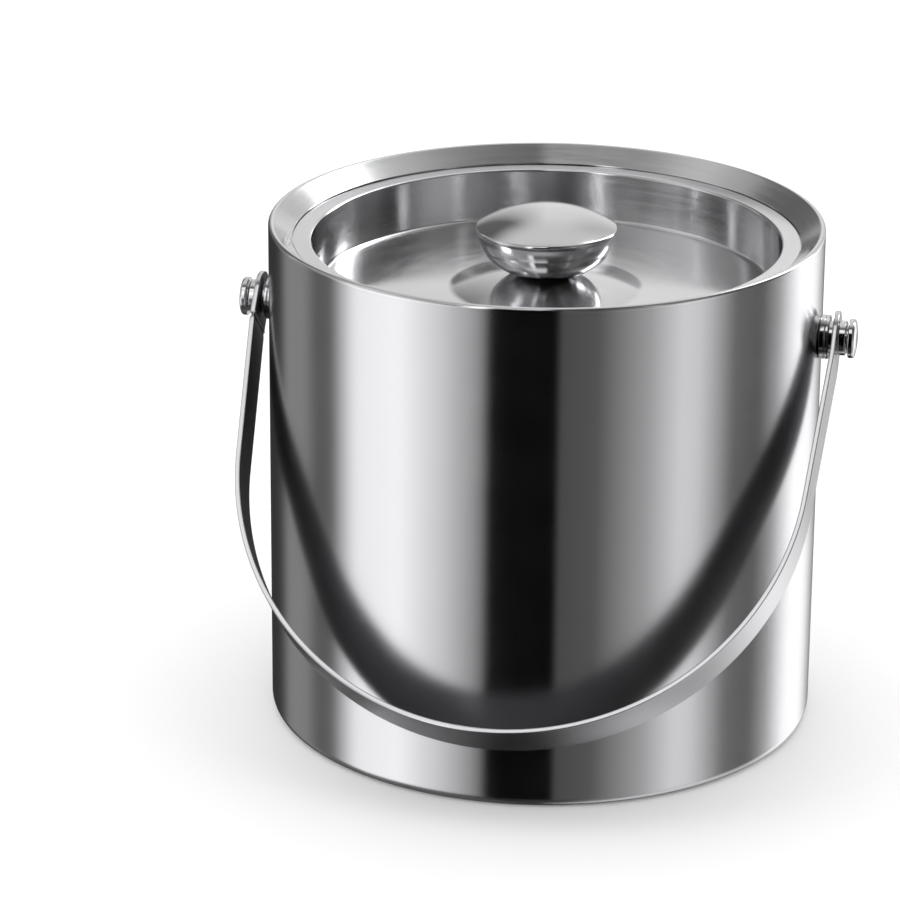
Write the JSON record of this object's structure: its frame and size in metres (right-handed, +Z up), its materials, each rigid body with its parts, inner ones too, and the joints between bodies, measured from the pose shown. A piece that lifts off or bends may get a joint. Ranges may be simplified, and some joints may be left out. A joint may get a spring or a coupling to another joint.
{
  "type": "ice bucket",
  "caption": "Round double-walled steel ice bucket with a flat swinging bail handle and a sunk, lift-off lid with a domed knob.",
  "frame": {"origin": "centre of the flat underside, on the surface the bucket stands on", "axes": "+Z up along the bucket's axis, +X along the handle's two pivots, and the handle hangs on the -Y side"},
  "size_m": [0.2036, 0.1942, 0.1715],
  "materials": {
    "brushed_wall_steel": "brushed round the wall and along the strap",
    "satin_inner_steel": "fine circular brushing",
    "polished_steel": "polished",
    "fastener_steel": "plain turned"
  },
  "bodies": {
    "bucket": {"outer_shell": "brushed_wall_steel", "inner_liner": "satin_inner_steel", "base_plate": "satin_inner_steel", "pivot_stud_right": "polished_steel", "pivot_stud_left": "polished_steel", "stud_washer_right": "fastener_steel", "stud_washer_left": "fastener_steel", "stud_nut_right": "fastener_steel", "stud_nut_left": "fastener_steel", "handle_washer_right": "polished_steel", "handle_washer_left": "polished_steel", "cap_nut_right": "polished_steel", "cap_nut_left": "polished_steel"},
    "bail": {"bail_handle": "brushed_wall_steel"},
    "lid": {"lid_pan": "satin_inner_steel", "knob_cap": "polished_steel", "knob_bowl": "polished_steel", "knob_insert": "fastener_steel", "knob_washer": "fastener_steel", "knob_screw": "fastener_steel"}
  },
  "joints": [
    {"name": "bail_swing", "type": "hinge", "parent": "bucket", "child": "bail", "pos_m": [0, 0, 0.134], "axis": [-1, 0, 0], "range_deg": [0, 275]},
    {"name": "lid_lift", "type": "slide", "parent": "bucket", "child": "lid", "axis": [0, 0, 1], "range_m": [0, 0.065]}
  ]
}
